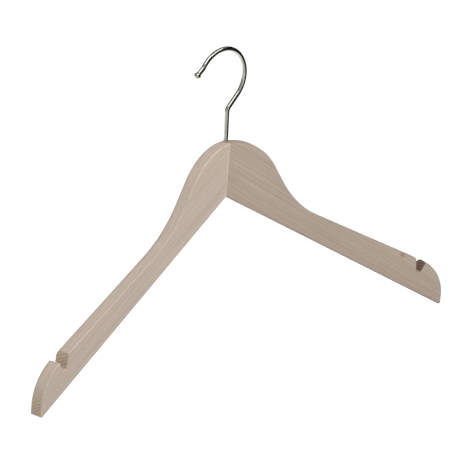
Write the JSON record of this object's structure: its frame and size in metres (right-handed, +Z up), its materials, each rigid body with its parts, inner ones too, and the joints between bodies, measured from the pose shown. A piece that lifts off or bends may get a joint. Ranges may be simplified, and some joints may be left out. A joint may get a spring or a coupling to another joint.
{
  "type": "clothes hanger",
  "caption": "Wooden clothes hanger: two mitred arms swept forward, a strap notch near each rounded tip, and a swivelling plated wire hook with a ball end.",
  "frame": {"origin": "where a rail bears on the inside of the hook's crown, in the hook's own plane", "axes": "+Z up along the hook's swivel axis, +X towards the right arm, -Y towards the front, where the arms sweep"},
  "size_m": [0.4451, 0.0558, 0.2492],
  "materials": {
    "beech": "sanded, raw, dry",
    "tongue_wood": "sawn",
    "bush_brass": "drawn",
    "plain_steel": "plain",
    "plated_wire": "bright nickel plate"
  },
  "bodies": {
    "hook": {"hook_wire": "plated_wire", "hook_ball_tip": "plated_wire", "stem_collar": "plain_steel"},
    "hanger": {"left_arm": "beech", "right_arm": "beech", "joint_tongue": "tongue_wood", "swivel_bush": "bush_brass", "thrust_washer": "plain_steel"}
  },
  "joints": [
    {"name": "hook_swivel", "type": "hinge", "parent": "hook", "child": "hanger", "pos_m": [0.00925, 0, -0.0764], "axis": [0, 0, 1], "continuous": true}
  ]
}
